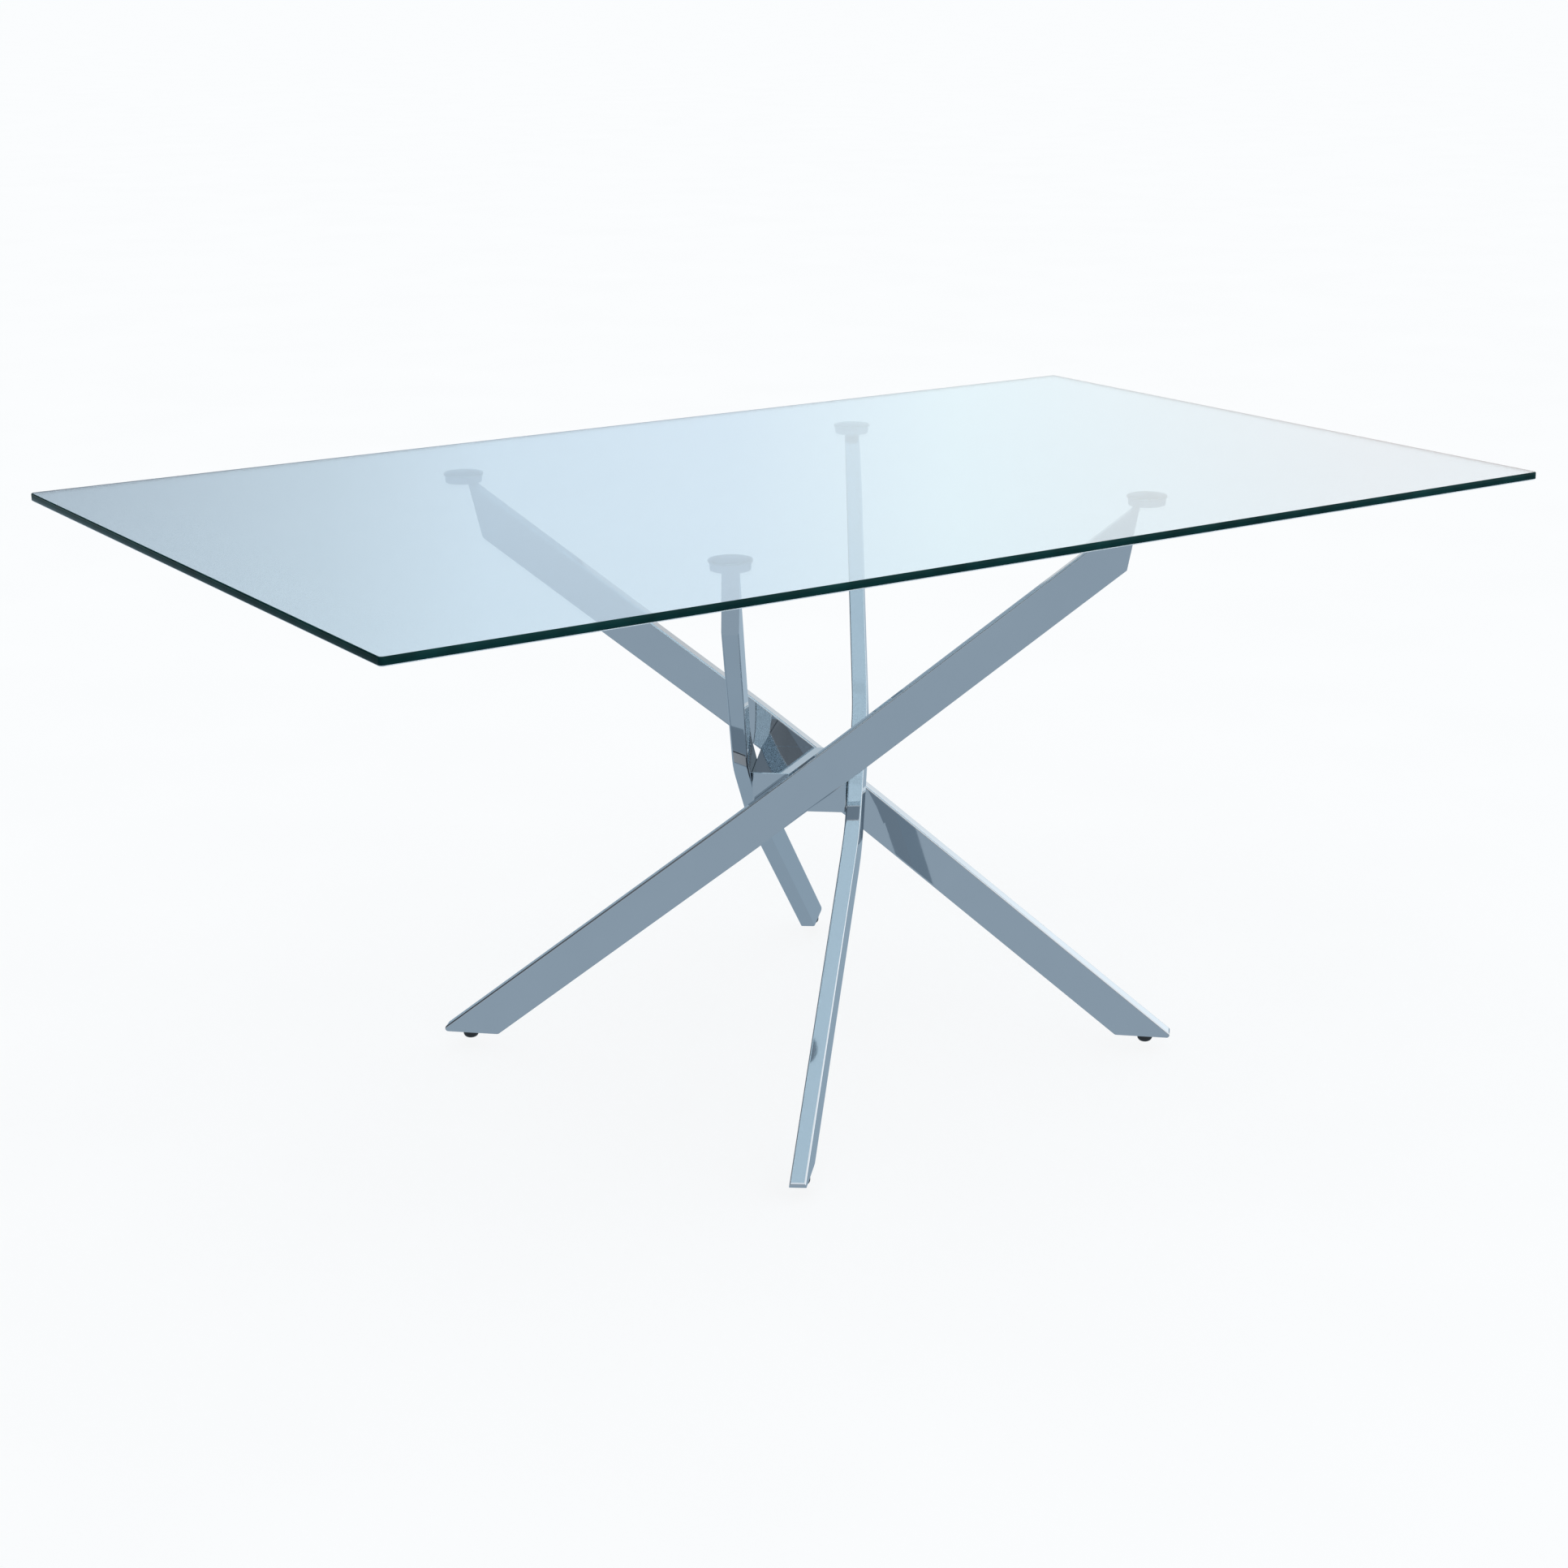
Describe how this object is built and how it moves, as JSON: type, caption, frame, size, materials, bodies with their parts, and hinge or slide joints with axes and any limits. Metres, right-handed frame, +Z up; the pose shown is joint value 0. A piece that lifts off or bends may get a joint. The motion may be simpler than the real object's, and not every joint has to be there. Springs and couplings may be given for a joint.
{
  "type": "dining table",
  "caption": "Rectangular glass-topped dining table on a chrome base: flat tube legs cross round a square hub and stand on levelling glides.",
  "frame": {"origin": "on the floor under the centre of the table top", "axes": "+X along the top's long side, +Y across it towards the rear, +Z up"},
  "size_m": [1.6, 1, 0.75],
  "materials": {
    "glass": "clear tempered float glass, polished edge",
    "chrome": "bright chrome plating on polished steel",
    "clear_pad": "clear soft plastic",
    "black_plastic": "moulded, fine matt",
    "zinc_steel": "zinc plated"
  },
  "bodies": {
    "table": {"leg_tube_rear_left": "chrome", "leg_end_plate_rear_left": "chrome", "leg_foot_plate_rear_left": "chrome", "leg_thread_plate_rear_left": "zinc_steel", "support_disc_rear_left": "chrome", "clear_pad_rear_left": "clear_pad", "leg_tube_front_left": "chrome", "leg_end_plate_front_left": "chrome", "leg_foot_plate_front_left": "chrome", "leg_thread_plate_front_left": "zinc_steel", "support_disc_front_left": "chrome", "clear_pad_front_left": "clear_pad", "leg_tube_front_right": "chrome", "leg_end_plate_front_right": "chrome", "leg_foot_plate_front_right": "chrome", "leg_thread_plate_front_right": "zinc_steel", "support_disc_front_right": "chrome", "clear_pad_front_right": "clear_pad", "leg_tube_rear_right": "chrome", "leg_end_plate_rear_right": "chrome", "leg_foot_plate_rear_right": "chrome", "leg_thread_plate_rear_right": "zinc_steel", "support_disc_rear_right": "chrome", "clear_pad_rear_right": "clear_pad", "glass_top": "glass", "hub_shell": "chrome", "hub_top_plate": "chrome", "hub_bottom_cover": "chrome", "hub_posts": "zinc_steel", "hub_cover_screws": "zinc_steel", "leg_bolts": "zinc_steel", "leg_washers": "zinc_steel", "glide_nuts": "zinc_steel"},
    "glide_rear_left": {"glide_rear_left": "black_plastic", "glide_stud_rear_left": "zinc_steel"},
    "glide_front_left": {"glide_front_left": "black_plastic", "glide_stud_front_left": "zinc_steel"},
    "glide_front_right": {"glide_front_right": "black_plastic", "glide_stud_front_right": "zinc_steel"},
    "glide_rear_right": {"glide_rear_right": "black_plastic", "glide_stud_rear_right": "zinc_steel"}
  },
  "joints": [
    {"name": "rear_left_glide_travel", "type": "slide", "parent": "table", "child": "glide_rear_left", "axis": [0, 0, -1], "range_m": [0, 0.01]},
    {"name": "front_left_glide_travel", "type": "slide", "parent": "table", "child": "glide_front_left", "axis": [0, 0, -1], "range_m": [0, 0.01]},
    {"name": "front_right_glide_travel", "type": "slide", "parent": "table", "child": "glide_front_right", "axis": [0, 0, -1], "range_m": [0, 0.01]},
    {"name": "rear_right_glide_travel", "type": "slide", "parent": "table", "child": "glide_rear_right", "axis": [0, 0, -1], "range_m": [0, 0.01]}
  ]
}
